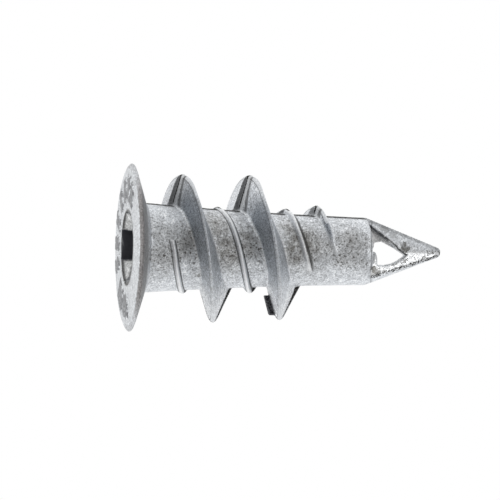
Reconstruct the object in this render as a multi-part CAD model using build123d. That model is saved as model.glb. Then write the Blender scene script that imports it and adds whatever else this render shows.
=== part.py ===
"""Self-drilling plasterboard anchor, die-cast in zinc as one piece.

The anchor stands on the flat face of its head, in millimetres:
  +Z runs along the axis from the head's face (z = 0) to the drill tip.
  The die's parting plane is XZ, so the two die halves draw apart along Y.
An angle about the axis is measured from +X towards +Y, and keeps counting
turn after turn, so it also says how far along a right-handed thread a point is.
"""

import os
from math import cos, radians, sin, tan

from build123d import *

# ---- Overall sizes -------------------------------------------------------
overall_length = 30.0  # head face to the blunt end of the drill tip
tip_length = 7.25  # of that, the drill tip beyond the barrel's shoulder

# ---- Head ----------------------------------------------------------------
head_diameter = 16.0
head_thickness = 1.73  # where the sloping back of the head meets the barrel
head_rim_thickness = 0.36
head_rim_chamfer = 0.12  # bevel on both edges of the rim

# ---- Barrel --------------------------------------------------------------
barrel_head_diameter = 8.5  # where the barrel leaves the head
barrel_tip_diameter = 6.44  # at the shoulder, where the drill tip starts
barrel_sag = 0.15  # how far the barrel's side bows in, half-way along it
barrel_courses = 3  # straight tapers that follow the bowed side
barrel_end = overall_length - tip_length
shoulder_chamfer_height = 0.6  # steep ramp from the shoulder in to the drill facets
shoulder_chamfer_width = 1.3

# ---- Drive recess and screw bore ----------------------------------------
recess_mouth_diameter = 7.0
dish_depth = 2.4  # conical dish between the recess mouth and the bore
bore_diameter = 3.8  # takes a 4.2 mm screw, which cuts its own thread
drive_wing_width = 2.7  # cross-shaped drive recess, at the mouth
drive_wing_span = 6.7  # tip to tip across two opposite wings, at the mouth
drive_depth = 7.0
drive_end_scale = 0.72  # how far the wings narrow by the bottom of the recess
drive_turn = 4.0  # degrees that the cross is turned from the parting plane
bore_past_shoulder = 0.65  # the bore starts to close in a cone this far up
bore_cone_angle = 26.0  # degrees between the closing cone and the axis

# ---- Threads -------------------------------------------------------------
thread_pitch = 6.45
thread_diameter = 14.2  # over the crests of the wide thread, near the head
thread_last_diameter = 13.5  # over its last full crest
thread_tail = 1.0  # height of the crest where the thread is nearly gone
thread_start_gap = 0.145  # between the head's back and the thread's middle
thread_end_gap = 2.31  # plain barrel between the thread's end and the shoulder
thread_run_in = 160  # degrees over which the thread rises to its full height
thread_run_out = (480, 320, 140)  # degrees before its end: full, last crest, tail
lead_crest_width = 0.32
rib_crest_width = 0.22
low_flank_slope = 0.3  # sideways run, for each unit of depth, of a flank facing the head
high_flank_slope = 0.42  # and of a flank facing the tip
rib_flank_slope = 0.4
# How far the die leaves each crest off its true helix, along the axis, at some angles.
lead_drift = ((360, 0.0), (540, -0.05), (585, -0.12), (625, 0.0), (720, -0.1), (900, 0.08), (960, -0.2))
root_fillet = 0.5  # height of the hollow at a flank's foot
root_fillet_slope = 0.7
root_sink = 0.6  # how far the ridges are rooted below the barrel's surface
hidden_depth = 0.3  # a ridge that dies out ends this far below the surface
least_flank = 0.1
piece_angle = 90  # the ridges' faces are laid in pieces of about this many degrees
stations_per_piece = 4

rib_heights = (0.32, 0.26, 0.6, 0.55)  # of the low rib, from its blunt start
rib_start_angle = 259
rib_behind = 2.95  # how far the rib runs behind the wide thread, along the axis
rib_drift = ((259, 0.15), (300, 0.0), (880, 0.0), (900, 0.1), (960, -0.2))
rib_angles = (280, 460, 640, 780)  # degrees on from the start: its heights, then its end

# ---- Drill tip -----------------------------------------------------------
tip_end_diameter = 0.66  # of the cone at the blunt end, before its bevel
tip_end_chamfer = 0.2
ridge_offset = 0.557  # ridge of a drill face, as a share of the cone's radius
face_edge_x = 0.79  # trailing edge of the broader face, as shares of the radius
face_edge_y = 0.613

# ---- Window through the drill tip ---------------------------------------
# Heights here are above the shoulder.
window_half_width = 1.13
window_start = 0.6
window_straight_end = 1.35
window_apex = 3.68
window_bulge = 0.36  # how far the window's converging sides bow outwards
pocket_wall = 0.5  # left between a side pocket and the outside of the arm
pocket_start = 0.3
pocket_end = 1.75
pocket_depth_behind_axis = 1.25  # the pocket's floor lies this far past the axis

# ---- Broken gate ---------------------------------------------------------
gate_from_end = 240  # degrees kept between the gate and the end of the thread
gate_inner_radius = 4.3
gate_outer_radius = 6.15
gate_width = 0.9  # across the parting plane
gate_before_crest = 1.5  # from its inner corner to the crest
gate_thickness = 0.75
gate_lean = 0.28  # follows the flank that it was cast against

node_name = "anchor"


def barrel_radius(height):
    """Outer radius of the tapered barrel at a height above the head's face."""
    along = (height - head_thickness) / (barrel_end - head_thickness)
    change = (barrel_tip_diameter - barrel_head_diameter) / 2
    bow = 4 * barrel_sag * along * (1 - along)
    return barrel_head_diameter / 2 + change * along - bow


def polar(radius, angle, height):
    """The point at a radius and an angle in degrees about the axis."""
    return Vector(radius * cos(radians(angle)), radius * sin(radians(angle)), height)


def between(stations, angle):
    """A value that eases between (angle, value) stations, without corners."""
    for (start, low), (end, high) in zip(stations, stations[1:]):
        if angle <= end:
            share = max(0.0, (angle - start) / (end - start))
            return low + (high - low) * share * share * (3 - 2 * share)
    return stations[-1][1]


def helix_height(angle):
    """Height of a true helix that starts just above the head."""
    return head_thickness + thread_start_gap + thread_pitch * angle / 360


def lead_height(angle):
    """Height of the wide thread's crest at an angle."""
    return helix_height(angle) + between(lead_drift, angle)


def rib_height(angle):
    """Height of the low rib, which runs about half a pitch behind the wide thread."""
    return helix_height(angle) - rib_behind + between(rib_drift, angle)


def ridge_section(height, ridge, top_width, slope):
    """Half section of a ridge at its height, as (radius, half width) pairs.

    It goes from the crest down the flank and its hollow foot to below the
    surface of the barrel. A ridge with a height below zero is hidden in the wall.
    """
    surface = barrel_radius(height)
    foot = min(root_fillet, 0.4 * ridge, ridge - least_flank)
    half_top = top_width / 2
    flank_end = half_top + slope * (ridge - foot)
    return (
        (surface + ridge, half_top),
        (surface + foot, flank_end),
        (surface - root_sink, flank_end + root_fillet_slope * (foot + root_sink)),
    )


def helical_ridge(path, heights, top_width, slopes):
    """A solid ridge that winds round the barrel with a changing height.

    path gives its height along the axis at an angle, and heights are the
    (angle, height above the barrel) stations of its crest, first to last.
    slopes are those of its lower and upper flanks.
    """
    start, end = heights[0][0], heights[-1][0]
    count = stations_per_piece * max(1, round((end - start) / piece_angle))
    angles = [start + (end - start) * step / count for step in range(count + 1)]
    corners = []
    for angle in angles:
        middle = path(angle)
        ridge = between(heights, angle)
        low, high = (ridge_section(middle, ridge, top_width, slope) for slope in slopes)
        lower = [polar(radius, angle, middle - width) for radius, width in reversed(low)]
        upper = [polar(radius, angle, middle + width) for radius, width in high]
        corners.append(lower + upper)
    lines = [Edge.make_spline(list(line)) for line in zip(*corners)]
    faces = [Face(Wire.make_polygon(ends, close=True)) for ends in (corners[0], corners[-1])]
    for first in range(0, count, stations_per_piece):
        last = first + stations_per_piece
        piece = [line.trim(a, b) for line, a, b in zip(lines, corners[first], corners[last])]
        for one, other in zip(piece, piece[1:] + piece[:1]):
            faces.append(Face.make_surface_from_curves(one, other))
    return Solid(Shell(faces))


def make_body():
    """Head and barrel, turned as one profile, with the ramp behind the tip."""
    rim = head_diameter / 2
    bevel = head_rim_chamfer
    neck = barrel_head_diameter / 2
    shoulder = barrel_tip_diameter / 2
    ramp = (shoulder - shoulder_chamfer_width, barrel_end + shoulder_chamfer_height)
    course = (barrel_end - head_thickness) / barrel_courses
    side = [head_thickness + course * number for number in range(1, barrel_courses)]
    outline = Polyline(
        (0, 0),
        (rim - bevel, 0),
        (rim, bevel),
        (rim, head_rim_thickness - bevel),
        (rim - bevel, head_rim_thickness),
        (neck, head_thickness),
        *((barrel_radius(height), height) for height in side),
        (shoulder, barrel_end),
        ramp,
        (0, ramp[1]),
        close=True,
    )
    return revolve(Plane.XZ * make_face(outline), axis=Axis.Z)


def make_tip():
    """Drill point: a blunt cone cut to a leaning blade by two faces on each side.

    All four faces meet where the cone's apex would be. Half a turn about the
    axis lays the far pair on the near pair.
    """
    base = barrel_tip_diameter / 2
    end = tip_end_diameter / 2
    cone = Pos(0, 0, barrel_end) * Cone(
        base, end, tip_length, align=(Align.CENTER, Align.CENTER, Align.MIN)
    )
    blunt = cone.edges().filter_by(GeomType.CIRCLE).sort_by(Axis.Z)[-1]
    cone = chamfer(blunt, tip_end_chamfer)

    face_run = (face_edge_y - ridge_offset) / face_edge_x
    side_x = 2 * ridge_offset / (ridge_offset - face_run)
    side_y = ridge_offset + face_run * side_x
    corners = ((0, -ridge_offset), (side_x, -side_y), (0, ridge_offset), (-side_x, side_y))

    def section(radius, height):
        points = [(radius * x, radius * y) for x, y in corners]
        return Plane.XY.offset(height) * make_face(Polyline(*points, close=True))

    blade = loft([section(base, barrel_end), section(end, overall_length)], ruled=True)
    return cone & blade


def make_recess():
    """Drive recess: a conical dish with a cross of tapered wings sunk into it."""
    mouth = recess_mouth_diameter / 2
    bore = bore_diameter / 2
    dish = Cone(mouth, bore, dish_depth, align=(Align.CENTER, Align.CENTER, Align.MIN))
    wing_taper = drive_end_scale
    cross = None
    for turn in (0, 90):
        top = Rectangle(drive_wing_span, drive_wing_width)
        bottom = Rectangle(drive_wing_span * wing_taper, drive_wing_width * wing_taper)
        wing = loft([top, Plane.XY.offset(drive_depth) * bottom], ruled=True)
        wing = Rot(0, 0, drive_turn + turn) * wing
        cross = wing if cross is None else cross + wing
    return dish + cross


def make_bore():
    """Screw bore, closed by a cone inside the drill tip."""
    radius = bore_diameter / 2
    bore_end = barrel_end + bore_past_shoulder
    straight = Cylinder(radius, bore_end, align=(Align.CENTER, Align.CENTER, Align.MIN))
    cone_length = 0.95 * radius / tan(radians(bore_cone_angle))
    end_radius = 0.05 * radius
    cone = Pos(0, 0, bore_end) * Cone(
        radius, end_radius, cone_length, align=(Align.CENTER, Align.CENTER, Align.MIN)
    )
    return straight + cone


def make_window():
    """Pointed window, cast right through the tip along the die's draw."""
    width = window_half_width
    start, straight, apex = (
        barrel_end + height for height in (window_start, window_straight_end, window_apex)
    )
    middle = (width / 2 + window_bulge, (straight + apex) / 2)
    outline = [
        Polyline((-width, straight), (-width, start), (width, start), (width, straight)),
        ThreePointArc((width, straight), middle, (0, apex)),
        ThreePointArc((0, apex), (-middle[0], middle[1]), (-width, straight)),
    ]
    face = Plane.XZ * make_face(Curve() + outline)
    return extrude(face, barrel_tip_diameter, both=True)


def make_pockets():
    """The two side pockets that the die leaves in the arms, half a turn apart."""

    def reach(height):
        taper = (barrel_tip_diameter - tip_end_diameter) / 2 / tip_length
        return barrel_tip_diameter / 2 - taper * height - pocket_wall

    outline = Polyline(
        (-reach(pocket_start), barrel_end + pocket_start),
        (-reach(pocket_end), barrel_end + pocket_end),
        (0, barrel_end + pocket_end),
        (0, barrel_end + pocket_start),
        close=True,
    )
    near = extrude(Plane.XZ * make_face(outline), barrel_tip_diameter)
    behind = extrude(Plane.XZ * make_face(outline), -pocket_depth_behind_axis)
    pocket = near + behind
    return pocket + Rot(0, 0, 180) * pocket


def make_gate_stub():
    """Stub of the gate, snapped off beside the last tall crest on the parting plane."""
    crest_angle = 360 * int((thread_end_angle() - gate_from_end) / 360)
    lean = gate_lean * (gate_outer_radius - gate_inner_radius)
    start = lead_height(crest_angle) - gate_before_crest
    outline = Polyline(
        (gate_inner_radius, start),
        (gate_outer_radius, start + lean),
        (gate_outer_radius, start + lean + gate_thickness),
        (gate_inner_radius, start + gate_thickness),
        close=True,
    )
    return extrude(Plane.XZ * make_face(outline), gate_width / 2, both=True)


def thread_end_angle():
    """Angle at which the wide thread has died out."""
    run = barrel_end - thread_end_gap - head_thickness - thread_start_gap
    return 360 * run / thread_pitch


def lead_stations():
    """Where the wide thread starts, is full, and dies out, and its height there."""
    end = thread_end_angle()
    full, last_crest, tail = (end - degrees_before for degrees_before in thread_run_out)
    first_surface = barrel_radius(lead_height(thread_run_in))
    full_surface = barrel_radius(lead_height(full))
    last_surface = barrel_radius(lead_height(last_crest))
    return (
        (0, -hidden_depth),
        (thread_run_in, thread_diameter / 2 - first_surface),
        (full, thread_diameter / 2 - full_surface),
        (last_crest, thread_last_diameter / 2 - last_surface),
        (tail, thread_tail),
        (end, -hidden_depth),
    )


def rib_stations():
    """Where the low rib starts, what its heights are, and where it dies out."""
    angles = [rib_start_angle] + [rib_start_angle + step for step in rib_angles]
    return tuple(zip(angles, rib_heights + (-hidden_depth,)))


def make_anchor():
    """The whole casting: body, threads and tip, then everything that is hollow."""
    lead_slopes = (low_flank_slope, high_flank_slope)
    rib_slopes = (rib_flank_slope, rib_flank_slope)
    lead = helical_ridge(lead_height, lead_stations(), lead_crest_width, lead_slopes)
    rib = helical_ridge(rib_height, rib_stations(), rib_crest_width, rib_slopes)
    casting = make_body() + make_tip()
    casting = casting + lead + rib + make_gate_stub()
    return casting - make_bore() - make_recess() - make_window() - make_pockets()


def main():
    os.makedirs("parts", exist_ok=True)
    anchor = make_anchor()
    export_step(anchor, f"parts/{node_name}.step")


main()
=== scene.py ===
"""Dress the self-drilling plasterboard anchor: cast form, finishes, light and camera.

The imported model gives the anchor's box. Inside that box the casting is worked
out as a distance field in millimetres, from named sizes that follow the
part's own, and meshed finely, so that it has the root fillets, die marks and
soft edges of a zinc die-casting. The anchor stands on its head: +Z runs to the
drill tip, and XZ is the plane where the two die halves part.
"""

import logging
import math
from dataclasses import dataclass, field
from enum import Enum
from typing import Iterator, Sequence

import bpy
import numpy as np
import openvdb
from mathutils import Matrix, Vector

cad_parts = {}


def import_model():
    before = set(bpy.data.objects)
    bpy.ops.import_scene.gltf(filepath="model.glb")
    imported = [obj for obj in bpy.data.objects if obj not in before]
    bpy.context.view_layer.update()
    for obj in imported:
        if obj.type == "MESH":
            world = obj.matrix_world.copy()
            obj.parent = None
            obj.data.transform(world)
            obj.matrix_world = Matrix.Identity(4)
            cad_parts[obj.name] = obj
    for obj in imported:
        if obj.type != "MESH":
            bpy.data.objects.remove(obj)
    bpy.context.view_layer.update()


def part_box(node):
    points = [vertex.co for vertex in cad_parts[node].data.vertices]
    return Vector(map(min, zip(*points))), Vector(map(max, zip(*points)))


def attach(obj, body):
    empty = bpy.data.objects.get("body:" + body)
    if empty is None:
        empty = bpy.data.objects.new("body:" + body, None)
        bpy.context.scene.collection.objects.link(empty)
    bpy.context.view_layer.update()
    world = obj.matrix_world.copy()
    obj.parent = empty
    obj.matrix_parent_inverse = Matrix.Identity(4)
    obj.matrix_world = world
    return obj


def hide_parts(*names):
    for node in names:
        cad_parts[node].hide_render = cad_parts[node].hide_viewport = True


LOG = logging.getLogger("anchor")
NODE = "anchor"
BODY = "root"
MILLIMETRE = 0.001
FAR = 9.0  # a distance in millimetres that counts as nowhere near
Field = np.ndarray
Socket = bpy.types.NodeSocket
Color = tuple[float, float, float]
Stations = Sequence[tuple[float, float]]
Span = tuple[float, float]  # where a change starts or ends, and its width
Line = tuple[float, float]  # centre and half width
Ramp = tuple[float, ...]  # a value's range, and the range that it is mapped to
Noise = tuple[float, float, float]  # scale, detail and roughness
Patches = tuple[tuple[float, float, float, float], ...]  # across, height, size, strength

DULL: Color = (0.6, 0.61, 0.62)
STAIN: Color = (0.13, 0.125, 0.115)
# near black, for real dirt and for painted shadow lines
DIRT_AND_SHADOW: Color = (0.035, 0.034, 0.032)


class Trait(Enum):
    """What each point of the mesh tells the finish about its place on the casting."""

    FLANK = "flank"  # on a side of the wide thread
    LIFT = "lift"  # how far the wide thread stands clear of the barrel
    RIB_OFFSET = "rib_offset"  # height above the low rib's crest line
    RIB_ON = "rib_on"  # where there is a low rib
    RIB_FOOT_SHADOW = "rib_foot_shadow"  # where the rib's foot has a painted shadow on its head side
    RIB_TIP = "rib_tip"  # the rib's last turns
    INSET = "inset"  # how far inward of the wide thread's crest
    BROKEN = "broken"  # on the gate's snapped stub
    SEAM = "seam"  # on the parting line and its flats
    SHADED_HOLLOW = "hollow"  # painted shade inside the drive, the bore and the outer ends of the pockets
    LIT_POCKET = "floor"  # painted light on the inside of the pocket on the near side
    DISH = "dish"  # on the cone round the drive
    PAD = "pad"  # on the raised pads
    LOW = "low"  # a thread's side that faces the head
    TOP = "top"  # the barrel along its parting line on the -X side
    RING = "ring"  # round the mouth of the dish
    FACE = "face"  # the head's flat face
    RIM = "rim"  # the head's edge
    GLEAM = "gleam"  # the bright band of the dish
    SHADED_BACK = "under"  # painted shade on the head's back
    SHADED_FLANK = "deep"  # painted shade on a thread's side
    CREST_HIGHLIGHT = "crest"  # painted highlight near a thread's crest
    GRIME_AND_SHADE = "grime_and_shade"  # under a patch of dirt and painted shade
    CLEAN_AND_LIT = "clean"  # where clouds and pits are few: painted light towards the parting line on +X and -X, painted shade on the near and far sides
    GROUND = "ground"  # the bright drill face
    BURR = "burr"  # the drill's burred edge
    SHOULDER = "shoulder"  # height above the line where the tip starts
    BRINK = "brink"  # how far across it lies from the edge of the window
    BRINK_SHADE = "brink_shade"  # where that edge gets a painted shadow line


Traits = dict[Trait, Field]


class Arithmetic(Enum):
    """The steps of arithmetic that the finishes use."""

    ADD = "ADD"
    SUBTRACT = "SUBTRACT"
    MULTIPLY = "MULTIPLY"
    POWER = "POWER"
    GREATEST = "MAXIMUM"
    BELOW = "LESS_THAN"
    SIZE = "ABSOLUTE"
    SIGN = "SIGN"


def eased(share: Field) -> Field:
    """Ease a share from 0 to 1 with no corner at either end."""
    share = np.clip(share, 0.0, 1.0)
    return share * share * (3.0 - 2.0 * share)


def rise(value: Field, start: float | Field, width: float) -> Field:
    """Ease from 0 to 1 over a width that begins at start."""
    return eased((value - start) / width)


def fall(value: Field, end: float | Field, width: float) -> Field:
    """Ease from 1 to 0 over a width that stops at end."""
    return eased((end - value) / width)


def eased_between(stations: Stations, angle: Field) -> Field:
    """Ease through (angle, value) stations.

    Args:
        stations: Angles in degrees, rising, each with its value.
        angle: Where the values are wanted.

    Returns:
        The values at those angles.
    """
    value = np.full(angle.shape, stations[0][1], dtype=np.float32)
    for (start, low), (end, high) in zip(stations, stations[1:]):
        value = np.where(angle >= start, low + (high - low) * rise(angle, start, end - start), value)
    return value.astype(np.float32)


def soft_union(one: Field, other: Field, blend: float) -> Field:
    """Join two distance fields with a hollow fillet about as wide as blend."""
    mix = np.clip(0.5 + 0.5 * (other - one) / blend, 0.0, 1.0)
    return other + (one - other) * mix - blend * mix * (1.0 - mix)


def soft_cut(one: Field, other: Field, blend: float) -> Field:
    """Intersect two distance fields with an edge rounded by about blend."""
    return -soft_union(-one, -other, blend)


def vectors(items: bpy.types.bpy_prop_collection, name: str) -> Field:
    """Read one vector of every item, a row each.

    Args:
        items: The items, such as the points of a mesh.
        name: Name of the vector.

    Returns:
        The vectors.
    """
    flat = np.empty(len(items) * 3)
    items.foreach_get(name, flat)
    return flat.reshape(-1, 3)


@dataclass
class Lattice:
    """The grid of points, in millimetres, that the casting is worked out on.

    Args:
        reach: Half width of the grid across the axis.
        low: Lowest height.
        high: Greatest height.
        step: Distance between neighbouring points.
    """

    reach: float
    low: float
    high: float
    step: float = 0.1
    x: Field = field(init=False)
    y: Field = field(init=False)
    z: Field = field(init=False)
    radius: Field = field(init=False)
    angle: Field = field(init=False)
    origin: Field = field(init=False)

    def __post_init__(self) -> None:
        """Lay out the axes, with the parting plane half-way between two rows."""
        half = int(math.ceil(self.reach / self.step))
        across = (np.arange(-half, half, dtype=np.float32) + 0.5) * self.step
        up = np.arange(self.low, self.high, self.step, dtype=np.float32)
        self.x = across[:, None, None]
        self.y = across[None, :, None]
        self.z = up[None, None, :]
        self.radius = np.sqrt(self.x**2 + self.y**2)
        self.angle = np.degrees(np.arctan2(self.y, self.x)) % 360.0
        self.origin = np.array([across[0], across[0], up[0]])

    def everywhere(self, value: float) -> Field:
        """One value at every point of the grid."""
        return np.full((self.x.size, self.y.size, self.z.size), value, dtype=np.float32)

    def sample(self, values: Field, points: Field) -> Field:
        """Read a field of the grid at any points, straight between its rows.

        Args:
            values: The field, one value per grid point.
            points: Points in millimetres, one row each.

        Returns:
            The field's value at each point.
        """
        place = (points - self.origin) / self.step
        limit = np.array(values.shape) - 2
        low = np.clip(np.floor(place).astype(int), 0, limit)
        part = np.clip(place - low, 0.0, 1.0)
        total = np.zeros(len(points))
        for corner in range(8):
            pick = np.array([corner & 1, corner >> 1 & 1, corner >> 2 & 1])
            share = np.prod(np.where(pick == 1, part, 1.0 - part), axis=1)
            total += share * values[tuple((low + pick).T)]
        return total


@dataclass
class Barrel:
    """The tapered barrel, from the head to the shoulder of the drill tip."""

    end: float
    start: float = 1.62
    start_radius: float = 4.2
    end_radius: float = 3.15
    sag: float = 0.15
    ramp_height: float = 0.6
    ramp_width: float = 1.3
    shoulder_edge: float = 0.25
    foot_edge: float = 0.1

    def radius_at(self, height: Field) -> Field:
        """Outer radius at a height.

        Args:
            height: Heights along the axis.

        Returns:
            The radius at those heights.
        """
        along = (height - self.start) / (self.end - self.start)
        bow = 4.0 * self.sag * along * (1.0 - along)
        return self.start_radius + (self.end_radius - self.start_radius) * along - bow

    def distance(self, grid: Lattice) -> Field:
        """Signed distance to the barrel and the steep ramp beyond its shoulder.

        Args:
            grid: The points that it is worked out on.

        Returns:
            The distance, below 0 inside.
        """
        side = grid.radius - self.radius_at(grid.z)
        slope = self.ramp_height / self.ramp_width
        ramp = (grid.z - self.end) + (grid.radius - self.end_radius) * slope
        ramp = ramp / math.hypot(1.0, slope)
        return soft_cut(soft_cut(side, ramp, self.shoulder_edge), -grid.z, self.foot_edge)


@dataclass
class Head:
    """The flat round head with its thin bevelled rim and sloping back."""

    radius: float
    face_radius: float = 7.28
    rim: float = 0.34
    back: float = 1.62
    back_radius: float = 4.2
    edge: float = 0.1

    def distance(self, grid: Lattice) -> Field:
        """Signed distance to the head.

        Args:
            grid: The points that it is worked out on.

        Returns:
            The distance, below 0 inside.
        """
        slope = (self.back - self.rim) / (self.radius - self.back_radius)
        back = grid.z - self.rim - (self.radius - grid.radius) * slope
        back = back / math.hypot(1.0, slope)
        width = self.radius - self.face_radius
        bevel = (grid.radius - self.face_radius) * self.rim - grid.z * width
        bevel = bevel / math.hypot(width, self.rim)
        disc = soft_cut(grid.radius - self.radius, back, self.edge)
        disc = soft_cut(disc, bevel, self.edge)
        return soft_cut(disc, -grid.z, self.edge)


@dataclass
class Thread:
    """One helical ridge with a changing height.

    Args:
        barrel: The barrel that it winds round.
        heights: (angle, height above the barrel) stations of its crest.
        half_crest: (angle, half width of the crest) stations.
        blend: Size of the fillet at the foot of its flanks.
        first_height: Height of its crest at the angle nought.
        drift: (angle, shift of the crest along the axis) stations.
        low_lean: (angle, lean) stations of the flank that faces the head.
        high_lean: (angle, lean) stations of the flank that faces the tip.
        pitch: Rise of the crest in one turn.
        crest_edge: Rounding of the crest.
        reach: How far along the axis from its crest the ridge is worked out.
        least_crest: Height that a crest must have to be marked as one.
        crest_reach: How far along the axis from its crest a ridge is marked.
    """

    barrel: Barrel
    heights: Stations
    half_crest: Stations
    blend: float
    first_height: float
    drift: Stations
    low_lean: Stations
    high_lean: Stations
    pitch: float = 6.45
    crest_edge: float = 0.25
    reach: float = 3.0
    least_crest: float = 0.6
    crest_reach: float = 1.5

    def turns(self, grid: Lattice) -> Iterator[tuple[Field, Field, Field, Field]]:
        """Go through the turns.

        Args:
            grid: The points that it is worked out on.

        Yields:
            The angles that count on turn after turn, the crest's height along the
            axis, its height above the barrel, and where the ridge has ended.
        """
        start, end = self.heights[0][0], self.heights[-1][0]
        for turn in range(int(start // 360), int(end // 360) + 1):
            angle = grid.angle + 360.0 * turn
            centre = self.first_height + self.pitch * angle / 360.0 + eased_between(self.drift, angle)
            yield angle, centre, eased_between(self.heights, angle), (angle < start) | (angle > end)

    def inward(self, grid: Lattice) -> Field:
        """How far each point lies inward of the nearest crest, FAR away from it.

        Args:
            grid: The points that it is worked out on.

        Returns:
            The distance inward, in millimetres.
        """
        whole = grid.everywhere(FAR)
        for _, centre, ridge, gone in self.turns(grid):
            inward = self.barrel.radius_at(centre) + ridge - grid.radius
            inward = np.where(gone | (ridge < self.least_crest), FAR, inward)
            away = np.abs(grid.z - centre)
            np.minimum(whole, np.where(away < self.crest_reach, inward, FAR), out=whole)
        return whole

    def offset(self, grid: Lattice) -> tuple[Field, Field]:
        """How far each point lies above the nearest crest line, and the ridge's height there.

        Args:
            grid: The points that it is worked out on.

        Returns:
            The two heights, in millimetres.
        """
        whole, height = grid.everywhere(FAR), grid.everywhere(0.0)
        for _, centre, ridge, gone in self.turns(grid):
            away = grid.z - centre
            closer = np.abs(away) < np.abs(whole)
            height = np.where(closer, np.where(gone, 0.0, ridge), height)
            whole = np.where(closer, away, whole)
        return whole, height

    def distance(self, grid: Lattice) -> Field:
        """Signed distance to every turn of the ridge.

        Args:
            grid: The points that it is worked out on.

        Returns:
            The distance, below 0 inside.
        """
        whole = grid.everywhere(FAR)
        bottom = grid.z[0, 0, 0]
        for angle, centre, ridge, gone in self.turns(grid):
            inward = self.barrel.radius_at(centre) + ridge - grid.radius
            low = max(0, int((centre.min() - self.reach - bottom) / grid.step))
            high = int((centre.max() + self.reach - bottom) / grid.step)
            height = grid.z[:, :, low:high]
            low_lean = eased_between(self.low_lean, angle)
            high_lean = eased_between(self.high_lean, angle)
            half_crest = eased_between(self.half_crest, angle)
            low_side = centre - height - half_crest - low_lean * inward
            high_side = height - centre - half_crest - high_lean * inward
            side = np.maximum(low_side / np.hypot(1.0, low_lean),
                              high_side / np.hypot(1.0, high_lean))
            ridge_field = soft_cut(side, np.broadcast_to(-inward, side.shape), self.crest_edge)
            part = whole[:, :, low:high]
            np.minimum(part, np.where(gone, FAR, ridge_field), out=part)
        return whole


@dataclass
class DrillTip:
    """The blunt cone with two leaning drill faces on each side.

    Args:
        start: Height where the tip starts, at the barrel's shoulder.
        length: Length of the tip.
        base_radius: The cone's radius at its start.
        end_radius: The cone's radius at its blunt end.
        ridge: Where the two faces meet, as a share of the cone's radius.
        edge: Where the broad face meets the cone, across and off the plane, as shares.
        face_edge: Rounding of the faces' edges.
        end_edge: Rounding of the blunt end.
        tuck: How far the cone stays inside its base.
        root: How far the tip runs down inside the barrel.
    """

    start: float
    length: float
    base_radius: float = 3.17
    end_radius: float = 0.33
    ridge: float = 0.557
    edge: tuple[float, float] = (0.79, 0.613)
    face_edge: float = 0.1
    end_edge: float = 0.35
    tuck: float = 0.02
    root: float = 0.8

    @property
    def slope(self) -> float:
        """How fast the cone narrows with height."""
        return (self.base_radius - self.end_radius) / self.length

    @property
    def run(self) -> float:
        """How fast the broad face leaves the parting plane."""
        return (self.edge[1] - self.ridge) / self.edge[0]

    def cone_radius(self, height: Field) -> Field:
        """Radius of the cone at a height."""
        return self.base_radius - (height - self.start) * self.slope

    def distance(self, grid: Lattice) -> Field:
        """Signed distance to the tip. Half a turn lays it on itself.

        Args:
            grid: The points that it is worked out on.

        Returns:
            The distance, below 0 inside.
        """
        radius = np.minimum(self.cone_radius(grid.z), self.base_radius - self.tuck)
        whole = (grid.radius - radius) / math.hypot(1.0, self.slope)
        for sign in (1.0, -1.0):
            x, y = sign * grid.x, sign * grid.y
            for lean in (self.run, self.ridge):
                face = -y - self.ridge * radius - lean * x
                whole = soft_cut(whole, face / math.hypot(1.0, lean), self.face_edge)
        whole = soft_cut(whole, grid.z - self.start - self.length, self.end_edge)
        return np.maximum(whole, self.start - self.root - grid.z)


@dataclass
class DriveRecess:
    """The cross drive recess, its conical dish and the screw bore behind them."""

    bore_end: float
    mouth_radius: float = 3.5
    bore_radius: float = 1.9
    dish_depth: float = 2.4
    wing_width: float = 2.7
    wing_span: float = 6.7
    wing_edge: float = 0.1
    depth: float = 7.0
    end_scale: float = 0.72
    turn: float = 4.0
    cone_angle: float = 50.0

    def parts(self, grid: Lattice) -> tuple[Field, Field]:
        """Signed distances to the dish, and to the cross and bore behind it.

        Args:
            grid: The points that it is worked out on.

        Returns:
            The two distances, below 0 inside.
        """
        slope = (self.mouth_radius - self.bore_radius) / self.dish_depth
        dish = grid.radius - self.mouth_radius + grid.z * slope
        dish = dish / math.hypot(1.0, slope)
        closing = (grid.z - self.bore_end) * math.tan(math.radians(self.cone_angle))
        hollow = grid.radius - self.bore_radius + np.maximum(closing, 0.0)
        turn = math.radians(self.turn)
        along = grid.x * math.cos(turn) + grid.y * math.sin(turn)
        across = grid.y * math.cos(turn) - grid.x * math.sin(turn)
        scale = 1.0 - (1.0 - self.end_scale) * grid.z / self.depth
        for one, other in ((along, across), (across, along)):
            wings = np.maximum(
                np.abs(one) - scale * self.wing_span / 2,
                np.abs(other) - scale * self.wing_width / 2,
            )
            wings = soft_cut(wings, grid.z - self.depth, self.wing_edge)
            hollow = np.minimum(hollow, wings)
        return dish, hollow


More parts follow.
